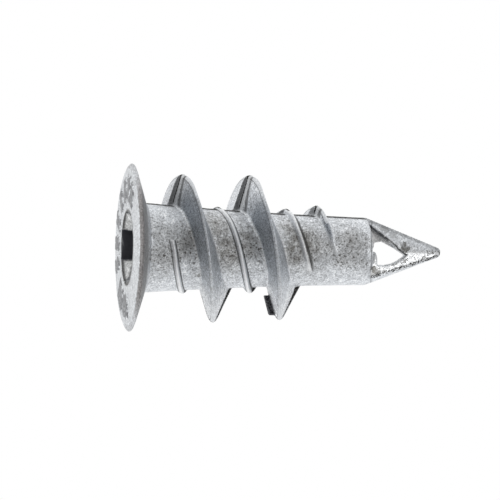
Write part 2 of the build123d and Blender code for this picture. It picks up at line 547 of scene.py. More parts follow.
@dataclass
class TipWindow:
    """The pointed window through the tip, with a side pocket in each arm.

    Args:
        tip: The drill tip that it goes through.
        one_edge: (height, reach) stations of its edge towards -X.
        other_edge: (height, reach) stations of its edge towards +X.
        start: Height of its lower edge above the barrel's end.
        lip: How much higher that edge stands at its raised end.
        lip_end: Where the raised end starts, across.
        apex: Height of its point.
        edge_scale: Makes a reach across into a distance from the leaning edges.
        pocket_start: Height where each pocket starts.
        pocket_end: Height where each pocket ends.
        pocket_edge: How far out each pocket reaches at its start.
        pocket_slope: How fast it narrows with height.
        pocket_scale: Makes a reach across into a distance from its leaning edge.
        pocket_floor: How far past the parting plane its floor lies.
        dark_depth: How wide its dark outer end is, at its start.
        dark_slope: How fast the dark end narrows, as a share per millimetre.
    """

    tip: DrillTip
    one_edge: Stations = ((0.6, 0.76), (1.7, 0.97), (2.87, 0.36), (3.84, -0.3))
    other_edge: Stations = ((1.9, 1.24), (2.5, 1.12), (3.1, 0.84), (3.5, 0.56), (3.84, 0.3))
    start: float = 0.66
    lip: float = 0.3
    lip_end: float = 0.35
    apex: float = 3.84
    edge_scale: float = 0.85
    pocket_start: float = 0.4
    pocket_end: float = 3.0
    pocket_edge: float = 2.5
    pocket_slope: float = 0.8
    pocket_scale: float = 0.8
    pocket_floor: float = 0.4
    dark_depth: float = 0.42
    dark_slope: float = 0.6

    def pocket_reach(self, height: Field) -> Field:
        """How far out a pocket reaches at a height above the barrel's end."""
        return self.pocket_edge - self.pocket_slope * (height - self.pocket_start)

    def parts(self, grid: Lattice) -> tuple[Field, Field]:
        """Signed distances to the window and pockets, and to the pockets' dark ends.

        Args:
            grid: The points that it is worked out on.

        Returns:
            The two distances, below 0 inside.
        """
        height = grid.z - self.tip.start
        one = np.interp(height, *zip(*self.one_edge)) + grid.x
        other = np.interp(height, *zip(*self.other_edge)) - grid.x
        window = -self.edge_scale * np.minimum(one, other)
        start = self.start + self.lip * fall(grid.x * np.sign(grid.y), self.lip_end, 1.0)
        whole = np.maximum(window, np.maximum(start - height, height - self.apex))
        dark = grid.everywhere(FAR)
        reach = self.pocket_reach(height)
        for sign in (1.0, -1.0):
            x, y = sign * grid.x, sign * grid.y
            pocket = np.maximum(-self.pocket_scale * (x + reach), x)
            pocket = np.maximum(pocket, self.pocket_start - height)
            pocket = np.maximum(pocket, height - self.pocket_end)
            pocket = np.maximum(pocket, y - self.pocket_floor)
            whole = np.minimum(whole, pocket)
            # the outer end of each pocket, which is painted dark as shade
            depth = self.dark_depth * (1.0 - self.dark_slope * (height - self.pocket_start))
            dark = np.minimum(dark, np.maximum(pocket, x + reach - depth))
        return whole, dark


@dataclass
class GateStub:
    """The stub of the gate, snapped off beside a crest."""

    crest: float = 14.675
    inner: float = 4.3
    outer: float = 6.15
    width: float = 0.9
    before_crest: float = 1.5
    thickness: float = 0.75
    root: float = 0.5
    lean: float = 0.28

    def distance(self, grid: Lattice) -> Field:
        """Signed distance to the stub, with the root that it has in the flank.

        Args:
            grid: The points that it is worked out on.

        Returns:
            The distance, below 0 inside.
        """
        start = self.crest - self.before_crest + self.lean * (grid.x - self.inner)
        body = np.maximum(start - grid.z, grid.z - start - self.thickness - self.root)
        body = np.maximum(body, np.abs(grid.y) - self.width / 2)
        sides = np.maximum(self.inner - grid.x, grid.x - self.outer)
        return np.maximum(body, sides)


@dataclass
class FacePads:
    """Plain raised pads set in an arc on the head's face.

    Args:
        angles: Where each pad lies, in degrees.
        ring: Distance of the pads' middles from the axis.
        long: Size of a pad along the radius.
        wide: Size of a pad across it.
    """

    angles: tuple[float, ...] = (207.0, 188.0, 167.0, 142.0, 115.0, 93.0, 73.0, 40.0, 27.0,
                                 9.0, -5.0)
    ring: float = 5.5
    long: float = 2.3
    wide: float = 1.35

    def cover(self, x: Field, y: Field) -> Field:
        """How far points of the face lie outside the nearest pad, below 0 inside.

        Args:
            x: Places across the face.
            y: Places along the face.

        Returns:
            The distance from the nearest pad.
        """
        whole = np.full(np.broadcast_shapes(x.shape, y.shape), FAR, dtype=np.float32)
        for degrees in self.angles:
            angle = math.radians(degrees)
            out = x * math.cos(angle) + y * math.sin(angle) - self.ring
            along = y * math.cos(angle) - x * math.sin(angle)
            edge = np.maximum(np.abs(out) - self.long / 2, np.abs(along) - self.wide / 2)
            whole = np.minimum(whole, edge)
        return whole


@dataclass
class Skin:
    """The points of the finished surface, in millimetres, and the way that they face.

    Args:
        places: The points, a row each.
        normals: The surface's normals there.
    """

    places: Field
    normals: Field
    x: Field = field(init=False)
    y: Field = field(init=False)
    z: Field = field(init=False)
    radius: Field = field(init=False)
    angle: Field = field(init=False)
    near: Field = field(init=False)

    def __post_init__(self) -> None:
        """Work out each point's place round the axis, and how far it is on the near side."""
        self.x, self.y, self.z = self.places.T
        self.radius = np.hypot(self.x, self.y)
        self.angle = np.degrees(np.arctan2(self.y, self.x)) % 360.0
        self.near = -self.y / np.maximum(self.radius, 0.1)


@dataclass(frozen=True)
class GrimeAndShade:
    """Soft patches of dirt and painted shade on the near side of the barrel.

    Args:
        patches: (across, height, size, strength) of each patch.
    """

    patches: Patches = (
        (-0.95, 5.1, 0.7, 0.5), (-0.4, 3.1, 0.9, 0.3), (0.2, 8.8, 0.9, 0.9),
        (-1.9, 8.3, 0.9, 0.6), (-2.8, 7.6, 0.5, 0.5), (-0.8, 10.8, 0.8, 0.45),
        (-0.3, 15.7, 1.0, 0.9), (-0.9, 16.6, 0.7, 0.6), (0.0, 17.9, 0.8, 0.35),
        (-0.5, 21.4, 0.8, 0.4), (2.5, 6.43, 0.1, 1.0), (-2.3, 14.7, 0.6, 0.5),
    )

    def cover(self, skin: Skin) -> Field:
        """How much dirt and painted shade each point gets, from 0 to 1.

        Args:
            skin: The finished surface.

        Returns:
            The share of dirt and painted shade.
        """
        clean = np.ones(len(skin.places))
        for across, height, size, strength in self.patches:
            apart = (skin.x - across) ** 2 + (skin.z - height) ** 2
            clean *= 1.0 - strength * np.exp(-apart / (2 * size**2))
        return np.where(skin.y < 0.0, 1.0 - clean, 0.0)


@dataclass
class Marks:
    """Where the marks of casting and of wear, and the painted shade and highlights, lie on the
    finished surface.

    Sizes are in millimetres, angles in degrees round the axis, and facings are
    parts of a unit normal. A span is where a mark starts or ends, and the width
    over which it fades.
    """

    barrel: Barrel
    head: Head
    recess: DriveRecess
    tip: DrillTip
    window: TipWindow
    grime_and_shade: GrimeAndShade = field(default_factory=GrimeAndShade)
    flat_start: float = 0.2
    flat_reach: float = 0.15
    flat_facing: float = 0.7
    thread_short: float = 3.0
    low_facing: float = -0.3
    top_facing: float = -0.8
    last_crest: float = 16.0
    # how dark the flats that face up the thread's turn are painted, past the last crest and before it
    last_flat_dark: float = 0.3
    crest_flat_dark: float = 0.72
    skin_depth: float = 0.08
    ring_shift: float = 0.12
    ring_width: float = 0.09
    ring_widening: float = 0.2
    ring_depth: float = 0.3
    face_start: float = 3.4
    face_past: float = 0.1
    rim_start: float = 7.1
    rim_top: float = 0.75
    rim_least: float = 0.35
    rim_near: Span = (0.45, 0.4)
    least_chord: float = 0.2
    gleam_slope: float = 0.334
    gleam_low: Span = (0.16, 0.1)
    gleam_high: Span = (0.98, 0.1)
    gleam_taper: Span = (1.4, 2.1)
    gleam_ends: tuple[float, float] = (0.22, 0.05)
    back_shade_start: Span = (4.7, 1.2)
    back_shade_low: float = 0.5
    back_shade_facing: float = 0.5
    flank_shade: Stations = ((180.0, 0.2), (190.0, 0.35), (215.0, 0.95), (270.0, 0.75),
                             (300.0, 0.4), (335.0, 0.0))
    far_shade: float = 0.1
    second_turn: float = 11.0
    second_shift: float = 12.0
    crest_glow: Span = (0.2, 1.7)
    glow_end: Span = (240.0, 30.0)
    glow_from: float = 8.0
    glows: tuple[float, float] = (0.75, 0.4)
    crest_inset: float = 1.0
    crest_loss: float = 0.6
    crest_side: Span = (0.5, 0.4)
    clean_lit_low: Span = (0.7, 1.0)
    clean_lit_high: Span = (1.2, 1.0)
    clean_lit_gains: tuple[float, float] = (0.3, 0.2)
    tip_start: float = 0.3
    tip_side: float = -0.1
    ground_facing: float = 0.9
    burr_width: float = 0.5
    burr_reach: float = 0.25
    shoulder_rise: float = 0.63
    shoulder_tilt: float = 0.167
    brink_depth: float = -0.3
    brink_low: float = 1.2
    brink_high: float = 3.9

    def mark(self, traits: Traits, skin: Skin) -> None:
        """Add every trait that hangs on how the surface lies.

        Args:
            traits: The traits so far, changed in place.
            skin: The finished surface.
        """
        flat = self.mark_parting(traits, skin)
        self.mark_head(traits, skin)
        self.mark_dish(traits, skin)
        self.mark_threads(traits, skin, flat)
        self.mark_barrel(traits, skin)
        self.mark_tip(traits, skin)

    def mark_parting(self, traits: Traits, skin: Skin) -> Field:
        """Find the flats and the lines where the two die halves met.

        Args:
            traits: The traits so far, changed in place.
            skin: The finished surface.

        Returns:
            Where the flats are.
        """
        past_head = skin.z > self.head.back + self.flat_start
        in_plane = (np.abs(skin.y) < self.flat_reach) & (traits[Trait.SHADED_HOLLOW] < 0.5)
        facing = skin.normals[:, 1]
        flat = past_head & in_plane & (np.abs(facing) > self.flat_facing)
        forward = flat & (np.sign(facing) == np.sign(skin.x))  # these face up the thread's turn
        traits[Trait.FLANK] = np.where(flat, 0.0, traits[Trait.FLANK])
        threaded = traits[Trait.FLANK] * (skin.z < self.barrel.end - self.thread_short)
        traits[Trait.LOW] = threaded * (skin.normals[:, 2] < self.low_facing)
        top = (skin.x < 0) & (skin.normals[:, 0] < self.top_facing) & (skin.z > self.head.back)
        traits[Trait.TOP] = top & (traits[Trait.SHADED_HOLLOW] < 0.5) & (traits[Trait.FLANK] < 0.5)
        # how dark each flat is painted
        flat_dark = np.where(skin.z > self.last_crest, self.last_flat_dark, self.crest_flat_dark)
        flat_dark = np.where(forward, flat_dark, 1.0)
        traits[Trait.SEAM] = np.where(flat, flat_dark, traits[Trait.SEAM])
        return flat

    def mark_head(self, traits: Traits, skin: Skin) -> None:
        """Find the head's face, rim, and the painted shade on its back.

        Args:
            traits: The traits so far, changed in place.
            skin: The finished surface.
        """
        z, radius = skin.z, skin.radius
        on_face = (radius > self.face_start) & (radius < self.head.face_radius + self.face_past)
        traits[Trait.FACE] = on_face & (z < self.skin_depth)
        on_rim = (z > self.skin_depth) & (z < self.rim_top) & (radius > self.rim_start)
        near = self.rim_least + (1.0 - self.rim_least) * rise(skin.near, *self.rim_near)
        traits[Trait.RIM] = on_rim * near
        # painted shade on the head's back, beside the barrel
        under = rise(radius, *self.back_shade_start) * (z > self.back_shade_low) * (z < self.head.back)
        traits[Trait.SHADED_BACK] = under * (skin.normals[:, 2] > self.back_shade_facing)

    def mark_dish(self, traits: Traits, skin: Skin) -> None:
        """Find the dark ring round the dish's mouth and the painted highlight band inside it.

        Args:
            traits: The traits so far, changed in place.
            skin: The finished surface.
        """
        near = np.clip(skin.near, 0.0, 1.0)
        ring = skin.radius - self.recess.mouth_radius - self.ring_shift * near
        ring = ring / (self.ring_width + self.ring_widening * near)
        ring = np.exp(-(ring**2)) * (skin.z < self.ring_depth)
        traits[Trait.RING] = ring * (traits[Trait.SHADED_HOLLOW] < 0.5)
        chord = np.sqrt(np.maximum(self.recess.mouth_radius**2 - skin.x**2, self.least_chord**2))
        share = skin.z / (self.gleam_slope * chord)
        start, width = self.gleam_taper
        taper = np.clip((np.abs(skin.x) - start) / width, 0.0, 1.0)
        taper = taper * np.where(skin.x > 0.0, *self.gleam_ends)
        (low, low_width), (high, high_width) = self.gleam_low, self.gleam_high
        gleam = rise(share, low + taper, low_width) * fall(share, high - 2 * taper, high_width)
        traits[Trait.GLEAM] = gleam

    def mark_threads(self, traits: Traits, skin: Skin, flat: Field) -> None:
        """Find the painted shade on the threads' sides, and the painted highlight on their crests.

        Args:
            traits: The traits so far, changed in place.
            skin: The finished surface.
            flat: Where the flats of the parting plane are.
        """
        # painted shade on the flanks by angle round the axis, lifted near the crests on the near side
        # as a painted highlight
        angle = skin.angle - self.second_shift * (skin.z > self.second_turn)
        deep = np.where(skin.y < 0.0, eased_between(self.flank_shade, angle), self.far_shade)
        near_crest = 1.0 - rise(traits[Trait.INSET], *self.crest_glow)
        upper = fall(skin.angle, *self.glow_end) * (skin.y < 0.0)
        glow = np.where(skin.z > self.glow_from, *self.glows)
        traits[Trait.SHADED_FLANK] = traits[Trait.FLANK] * deep * (1.0 - near_crest * upper * glow)
        # painted highlight along the crests, weaker on the near and far sides
        crest = (1.0 - flat) * (traits[Trait.INSET] < self.crest_inset)
        loss = self.crest_loss * rise(np.abs(skin.near), *self.crest_side)
        traits[Trait.CREST_HIGHLIGHT] = crest * (1.0 - loss)

    def mark_barrel(self, traits: Traits, skin: Skin) -> None:
        """Find the barrel's patches of dirt and painted shade, and where it has few clouds and pits,
        as painted light.

        Args:
            traits: The traits so far, changed in place.
            skin: The finished surface.
        """
        traits[Trait.GRIME_AND_SHADE] = self.grime_and_shade.cover(skin)
        low_gain, high_gain = self.clean_lit_gains
        # fewer clouds and pits towards the parting line and past it on +X and -X: painted light
        # there, painted shade on the near and far sides
        clean = 1.0 - np.abs(skin.near) + low_gain * rise(skin.x, *self.clean_lit_low)
        clean = clean + high_gain * rise(-skin.x, *self.clean_lit_high)
        traits[Trait.CLEAN_AND_LIT] = np.clip(clean, 0.0, 1.0)

    def mark_tip(self, traits: Traits, skin: Skin) -> None:
        """Find the drill's bright face, its burred edge, its shoulder and the painted shadow line
        along the window's edge.

        Args:
            traits: The traits so far, changed in place.
            skin: The finished surface.
        """
        x, y, height = skin.x, skin.y, skin.z - self.tip.start
        cone = self.tip.cone_radius(skin.z)
        turned = np.where(y < 0.0, x, -x)
        face = np.abs(y) - self.tip.ridge * cone - self.tip.run * turned
        on_tip = (height > self.tip_start) & (turned > self.tip_side)
        traits[Trait.GROUND] = on_tip & (np.abs(skin.normals[:, 1]) > self.ground_facing)
        edge = np.clip(1.0 - np.abs(skin.radius - cone) / self.burr_width, 0.0, 1.0)
        traits[Trait.BURR] = on_tip * edge * (np.abs(face) < self.burr_reach)
        traits[Trait.SHOULDER] = height - self.shoulder_rise - self.shoulder_tilt * y
        pocket = np.where(height < self.window.pocket_end, self.window.pocket_reach(height), -FAR)
        edge = np.interp(height, *zip(*self.window.one_edge))
        traits[Trait.BRINK] = x + np.maximum(edge, pocket)
        # where the window's edge gets a painted shadow line
        on_brink = (height > self.brink_low) & (height < self.brink_high)
        traits[Trait.BRINK_SHADE] = on_brink & (y < self.brink_depth)


@dataclass(frozen=True)
class Traces:
    """How near a form a point must lie to be noted as a part of it.

    Sizes are in millimetres. A span is where a trace starts or ends, and the
    width over which it fades.
    """

    flank_fade: float = 0.3
    lift_limit: float = 0.6
    offset_limit: float = 1.0
    inset_limits: tuple[float, float] = (-0.5, 2.0)
    rib_height: float = 0.12
    last_rib: Span = (14.3, 0.6)
    last_rib_height: float = 0.3
    gate_skin: float = 0.06
    seam: Span = (0.02, 0.04)
    seam_reach: float = 0.2
    pad_fade: float = 0.62
    pad_end: Span = (0.35, 0.2)
    wing_end: float = 2.2
    wing_shallow: float = 1.2
    drive_skin: float = 0.08
    hollow_skin: float = 0.05
    floor_skin: float = 0.06
    floor_depth: float = 0.6
    floor_side: float = -0.5
    floor_end: Span = (2.6, 0.2)
    dish_skin: float = 0.08
    dish_clear: float = 0.12
    dish_end: Span = (3.0, 0.5)


@dataclass
class Casting:
    """The whole anchor: outer form, die marks and hollows, and its mesh.

    Args:
        head_radius: Radius of the head.
        length: Length from the head's face to the tip.
        tip_length: Length of the drill tip.
        above: Room in the grid above and below the casting.
        beside: Room in the grid beside it.
        rim_past: How far the head runs on past its radius before it is rounded.
        bore_short: How far before the shoulder the bore starts to close.
        head_blend: Fillet between head and barrel.
        face_edge: Rounding of the head's face.
        pad_height: How far the pads stand out.
        pad_root: How deep the pads are sunk in the face.
        pad_blend: Fillet at the pads' feet.
        mouth_blend: Fillet between the dish and the drive.
        hollow_edge: Rounding of the hollows' edges.
        flash: How far the flash stands out on the -X side, and on the +X side.
        flash_rise: Height over which it grows behind the head.
        flash_thickness: Thickness of the flash.
        near: How near each form its traces reach.
        step: Distance between the grid's points.
        faces: Triangles that the mesh is thinned to.
    """

    head_radius: float
    length: float
    tip_length: float = 7.25
    above: float = 0.45
    beside: float = 0.5
    rim_past: float = 0.03
    bore_short: float = 0.45
    head_blend: float = 0.2
    face_edge: float = 0.12
    pad_height: float = 0.1
    pad_root: float = 0.2
    pad_blend: float = 0.08
    mouth_blend: float = 0.12
    hollow_edge: float = 0.1
    flash: tuple[float, float] = (0.05, 0.02)
    flash_rise: float = 0.3
    flash_thickness: float = 0.18
    near: Traces = Traces()
    step: float = 0.1
    faces: int = 190_000

    def __post_init__(self) -> None:
        """Set up the sub-parts from the driving sizes."""
        reach = self.head_radius + self.beside
        self.grid = Lattice(reach, -self.above, self.length + self.above, self.step)
        self.barrel = Barrel(end=self.length - self.tip_length)
        self.head = Head(self.head_radius + self.rim_past)
        self.tip = DrillTip(self.barrel.end, self.tip_length)
        self.recess = DriveRecess(bore_end=self.barrel.end - self.bore_short)
        self.window = TipWindow(self.tip)
        self.gate = GateStub()
        self.pads = FacePads()
        self.marks = Marks(self.barrel, self.head, self.recess, self.tip, self.window)
        self.lead = self.wide_thread()
        self.rib = self.low_rib()
        self.traits: Traits = {}

    def wide_thread(self) -> Thread:
        """The wide thread, with its crest stepped where the die halves meet.

        Returns:
            The thread.
        """
        return Thread(
            self.barrel,
            heights=((0, -0.3), (160, 3.02), (556, 3.44), (716, 3.24), (896, 0.98), (1036, -0.3)),
            half_crest=((0, 0.1), (150, 0.1), (175, 0.19), (190, 0.19), (220, 0.1), (510, 0.1),
                        (535, 0.19), (550, 0.19), (580, 0.1)),
            blend=0.2,
            first_height=1.875,
            drift=((0, 0.0), (150, 0.0), (180, 0.1), (195, 0.09), (225, -0.03), (360, 0.0),
                   (510, -0.03), (540, 0.08), (555, 0.06), (585, -0.12), (625, 0.0),
                   (720, -0.06), (900, 0.08), (960, -0.2)),
            low_lean=((0, 0.28), (180, 0.28), (215, 0.19), (300, 0.19), (350, 0.31), (540, 0.28),
                      (575, 0.19), (660, 0.19), (710, 0.3)),
            high_lean=((0, 0.42), (225, 0.34), (300, 0.34), (360, 0.42), (560, 0.36),
                       (712, 0.36), (724, 0.5), (800, 0.45)),
        )

    def low_rib(self) -> Thread:
        """The low rib that winds between the wide thread's turns.

        Returns:
            The rib.
        """
        return Thread(
            self.barrel,
            heights=((259, 0.28), (359, 0.36), (539, 0.26), (719, 0.6), (899, 0.52),
                     (1000, 0.3), (1050, -0.2)),
            half_crest=((0, 0.11),),
            blend=0.1,
            first_height=-1.075,
            drift=((259, 0.15), (300, 0.0), (880, 0.0), (900, 0.1), (960, -0.2)),
            low_lean=((0, 0.5),),
            high_lean=((0, 0.3),),
        )

    def drawn(self, form: Field) -> Field:
        """Let nothing overhang, since each die half draws straight out.

        Args:
            form: Signed distance to the form.

        Returns:
            The same with every line along the draw, from the outside in, kept
            inside once it is inside.
        """
        middle = self.grid.y.size // 2
        near = np.minimum.accumulate(form[:, :middle], axis=1)
        far = np.minimum.accumulate(form[:, : middle - 1 : -1], axis=1)[:, ::-1]
        return np.concatenate((near, far), axis=1)

    def trace_threads(self, form: Field, lead: Field) -> None:
        """Note where the threads' sides, feet and crests lie.

        Args:
            form: Signed distance to the head and barrel.
            lead: Signed distance to the wide thread.
        """
        traits, clear, near = self.traits, form - lead, self.near
        offset, ridge = self.rib.offset(self.grid)
        last = rise(self.grid.z, *near.last_rib)
        traits[Trait.FLANK] = np.clip(clear / near.flank_fade, 0.0, 1.0)
        traits[Trait.LIFT] = np.clip(clear, -near.lift_limit, near.lift_limit)
        traits[Trait.RIB_OFFSET] = np.clip(offset, -near.offset_limit, near.offset_limit)
        traits[Trait.RIB_ON] = np.clip(ridge / near.rib_height, 0.0, 1.0)
        traits[Trait.RIB_FOOT_SHADOW] = traits[Trait.RIB_ON] * (1.0 - last)
        traits[Trait.RIB_TIP] = np.clip(ridge / near.last_rib_height, 0.0, 1.0) * last
        traits[Trait.INSET] = np.clip(self.lead.inward(self.grid), *near.inset_limits)

    def outer(self) -> Field:
        """Signed distance to the casting before its hollows, as the die leaves it.

        Returns:
            The distance, below 0 inside.
        """
        grid = self.grid
        lead, rib = self.lead.distance(grid), self.rib.distance(grid)
        form = soft_union(self.barrel.distance(grid), self.head.distance(grid), self.head_blend)
        self.trace_threads(form, lead)
        form = soft_union(form, lead, self.lead.blend)
        form = soft_union(form, rib, self.rib.blend)
        form = np.minimum(form, self.tip.distance(grid))
        gate = self.gate.distance(grid)
        self.traits[Trait.BROKEN] = (gate < self.near.gate_skin).astype(np.float32)
        form = self.drawn(np.minimum(form, gate))
        reach = np.where(grid.x < 0, *self.flash)
        reach = reach * rise(grid.z, self.head.back, self.flash_rise)
        fin = np.maximum(form - reach, np.abs(grid.y) - self.flash_thickness / 2)
        start, width = self.near.seam
        seam = np.clip((form - start) / width, 0.0, 1.0)
        self.traits[Trait.SEAM] = seam * (np.abs(grid.y) < self.near.seam_reach)
        return np.minimum(form, fin)

    def distance(self) -> Field:
        """Signed distance to the finished casting.

        Returns:
            The distance, below 0 inside.
        """
        grid = self.grid
        cover = self.pads.cover(grid.x, grid.y)
        form = soft_cut(self.outer(), -grid.z, self.face_edge)
        pads = np.maximum(cover, -self.pad_height - grid.z)
        form = soft_union(form, np.maximum(pads, grid.z - self.pad_root), self.pad_blend)
        dish, drive = self.recess.parts(grid)
        window, dark = self.window.parts(grid)
        hollow = soft_union(np.minimum(drive, window), dish, self.mouth_blend)
        self.trace_hollows(dish, drive, window, dark)
        pad = np.clip(self.near.pad_fade - cover, 0.0, 1.0) * fall(grid.z, *self.near.pad_end)
        self.traits[Trait.PAD] = np.broadcast_to(pad, form.shape)
        return soft_cut(form, -hollow, self.hollow_edge)

    def trace_hollows(self, dish: Field, drive: Field, window: Field, dark: Field) -> None:
        """Note where the walls of the hollows lie, each a little past its own surface.

        Args:
            dish: Signed distance to the dish.
            drive: Signed distance to the cross and the bore.
            window: Signed distance to the window and pockets.
            dark: Signed distance to the pockets' dark ends.
        """
        grid, near = self.grid, self.near
        wing_ends = (np.abs(grid.x) > near.wing_end) & (grid.z < near.wing_shallow)
        drive = np.where((grid.z < self.barrel.end) & ~wing_ends, drive, FAR)
        # the hollows that are painted dark as shade
        hollow = np.minimum(drive - near.drive_skin, dark) < near.hollow_skin
        # the pocket's inside on the near side, which gets painted light
        floor = (window < near.floor_skin) & (grid.y < near.floor_depth) & ~hollow
        floor = floor & (grid.x < near.floor_side)
        on_dish = (dish < near.dish_skin) & (drive > near.dish_clear)
        height = grid.z - self.tip.start
        self.traits[Trait.SHADED_HOLLOW] = hollow.astype(np.float32)
        self.traits[Trait.LIT_POCKET] = floor * fall(height, *near.floor_end)
        self.traits[Trait.DISH] = on_dish * fall(grid.z, *near.dish_end)

    def mesh(self, band: float = 2.0) -> tuple[Field, Field]:
        """Mesh the casting.

        Args:
            band: The distance that the field is held to.

        Returns:
            Points in millimetres and quads of the surface.
        """
        values = np.clip(self.distance(), -band, band).astype(np.float32)
        volume = openvdb.FloatGrid(band)
        volume.copyFromArray(values)
        points, quads = volume.convertToQuads(0.0)
        return points * self.step + self.grid.origin, quads

    def build(self) -> bpy.types.Object:
        """Mesh the casting in metres, thinned where it is plain, with its traits.

        Returns:
            The casting, linked to the scene.
        """
        points, quads = self.mesh()
        raw = bpy.data.meshes.new("casting_raw")
        raw.from_pydata((points * MILLIMETRE).tolist(), [], quads.tolist())
        draft = bpy.data.objects.new("casting_raw", raw)
        bpy.context.collection.objects.link(draft)
        thin = draft.modifiers.new("thin", "DECIMATE")
        thin.ratio = min(1.0, self.faces / (2 * len(quads)))
        evaluated = draft.evaluated_get(bpy.context.evaluated_depsgraph_get())
        mesh = bpy.data.meshes.new_from_object(evaluated)
        bpy.data.objects.remove(draft)
        mesh.name = "casting"
        skin = Skin(vectors(mesh.vertices, "co") / MILLIMETRE,
                    vectors(mesh.vertex_normals, "vector"))
        traits = {trait: self.grid.sample(values, skin.places)
                  for trait, values in self.traits.items()}
        self.marks.mark(traits, skin)
        for trait, values in traits.items():
            layer = mesh.attributes.new(trait.value, "FLOAT", "POINT")
            layer.data.foreach_set("value", np.asarray(values, dtype=np.float32))
        mesh.shade_smooth()
        casting = bpy.data.objects.new("casting", mesh)
        bpy.context.collection.objects.link(casting)
        return casting


class Nodes:
    """Short ways to add and join the nodes of one material or world."""

    def __init__(self, tree: bpy.types.NodeTree) -> None:
        """Start on an empty tree."""
        self.tree = tree
        tree.nodes.clear()

    def add(self, kind: str, **settings: object) -> bpy.types.Node:
        """Add a node.

        Args:
            kind: Type of the node, without its "ShaderNode" start.
            **settings: Properties of the node, or its inputs by their names
                with "_" for a space and a capital first letter.

        Returns:
            The node.
        """
        node = self.tree.nodes.new("ShaderNode" + kind)
        for name, value in settings.items():
            if name[0].isupper():
                self.give(node.inputs[name.replace("_", " ")], value)
            else:
                setattr(node, name, value)
        return node

    def give(self, socket: Socket, value: object) -> None:
        """Join a socket to another one, or set its value.

        Args:
            socket: The input.
            value: What it gets, or is mapped from.
        """
        if isinstance(value, Socket):
            self.tree.links.new(value, socket)
        else:
            socket.default_value = value

    def noise(self, scale: float, detail: float, roughness: float) -> Socket:
        """Noise laid out in metres on the part.

        Args:
            scale: How fine the noise is, per metre.
            detail: Number of finer layers.
            roughness: How strong the finer layers are.

        Returns:
            The noise.
        """
        place = self.add("TexCoord").outputs["Object"]
        node = self.add("TexNoise", Vector=place, Scale=scale, Detail=detail, Roughness=roughness)
        return node.outputs["Fac"]

    def ramp(self, value: Socket, low: float, high: float,
             out_low: float = 0.0, out_high: float = 1.0) -> Socket:
        """Map a value from one range to another, held at both ends.

        Args:
            value: The value.
            low: Start of the value's range.
            high: End of the value's range.
            out_low: What the start is mapped to.
            out_high: What the end is mapped to.

        Returns:
            The mapped value.
        """
        node = self.add("MapRange", Value=value, From_Min=low, From_Max=high,
                        To_Min=out_low, To_Max=out_high)
        return node.outputs["Result"]

    def math(self, kind: Arithmetic, one: object, other: object = 0.0) -> Socket:
        """One step of arithmetic.

        Args:
            kind: The step.
            one: The first value.
            other: The second value.

        Returns:
            The result.
        """
        node = self.add("Math", operation=kind.value)
        self.give(node.inputs[0], one)
        self.give(node.inputs[1], other)
        return node.outputs[0]

    def plus(self, one: object, other: object) -> Socket:
        """Add two values."""
        return self.math(Arithmetic.ADD, one, other)

    def minus(self, one: object, other: object) -> Socket:
        """Take a value from another one."""
        return self.math(Arithmetic.SUBTRACT, one, other)

    def times(self, whole: object, *factors: object) -> Socket:
        """Multiply values together.

        Args:
            whole: The first value.
            *factors: The others.

        Returns:
            The product.
        """
        for factor in factors:
            whole = self.math(Arithmetic.MULTIPLY, whole, factor)
        return whole

    def greatest(self, whole: object, *others: object) -> Socket:
        """Keep the greatest of some values.

        Args:
            whole: The first value.
            *others: The others.

        Returns:
            The greatest.
        """
        for other in others:
            whole = self.math(Arithmetic.GREATEST, whole, other)
        return whole

    def apart(self, value: Socket, centre: float) -> Socket:
        """How far a value is from a centre."""
        return self.math(Arithmetic.SIZE, self.minus(value, centre))

    def line(self, value: Socket, centre: float, half_width: float) -> Socket:
        """A soft line where a value is near its centre."""
        solid = 0.35 * half_width
        return self.ramp(self.apart(value, centre), solid, half_width, 1.0, 0.0)

    def blend(self, share: object, one: object, other: object) -> Socket:
        """Mix two colours.

        Args:
            share: How far the second one covers the first.
            one: The colour below.
            other: The colour over it.

        Returns:
            The mixed colour.
        """
        node = self.add("Mix", data_type="RGBA")
        self.give(node.inputs[0], share)
        for socket, value in ((node.inputs[6], one), (node.inputs[7], other)):
            self.give(socket, (*value, 1.0) if isinstance(value, tuple) else value)
        return node.outputs[2]

    def lay(self, color: Socket, over: object, *shares: object) -> Socket:
        """Lay a colour over another one, as far as the product of its shares lets it."""
        return self.blend(self.times(*shares), color, over)

    def tint(self, color: object, shade: Socket) -> Socket:
        """Multiply a colour by a shade.

        Args:
            color: The colour.
            shade: The shade.

        Returns:
            The tinted colour.
        """
        node = self.add("VectorMath", operation="SCALE")
        self.give(node.inputs[0], color)
        self.give(node.inputs["Scale"], shade)
        return node.outputs["Vector"]

    def trait(self, trait: Trait) -> Socket:
        """Read one of the mesh's own traits."""
        return self.add("Attribute", attribute_name=trait.value).outputs["Fac"]


@dataclass(frozen=True)
class Grain:
    """The noises, the place in millimetres and the shade that a finish is mixed from."""

    cloud: Socket
    blotch: Socket
    speck: Socket
    pit: Socket
    x: Socket
    y: Socket
    z: Socket
    shade: Socket


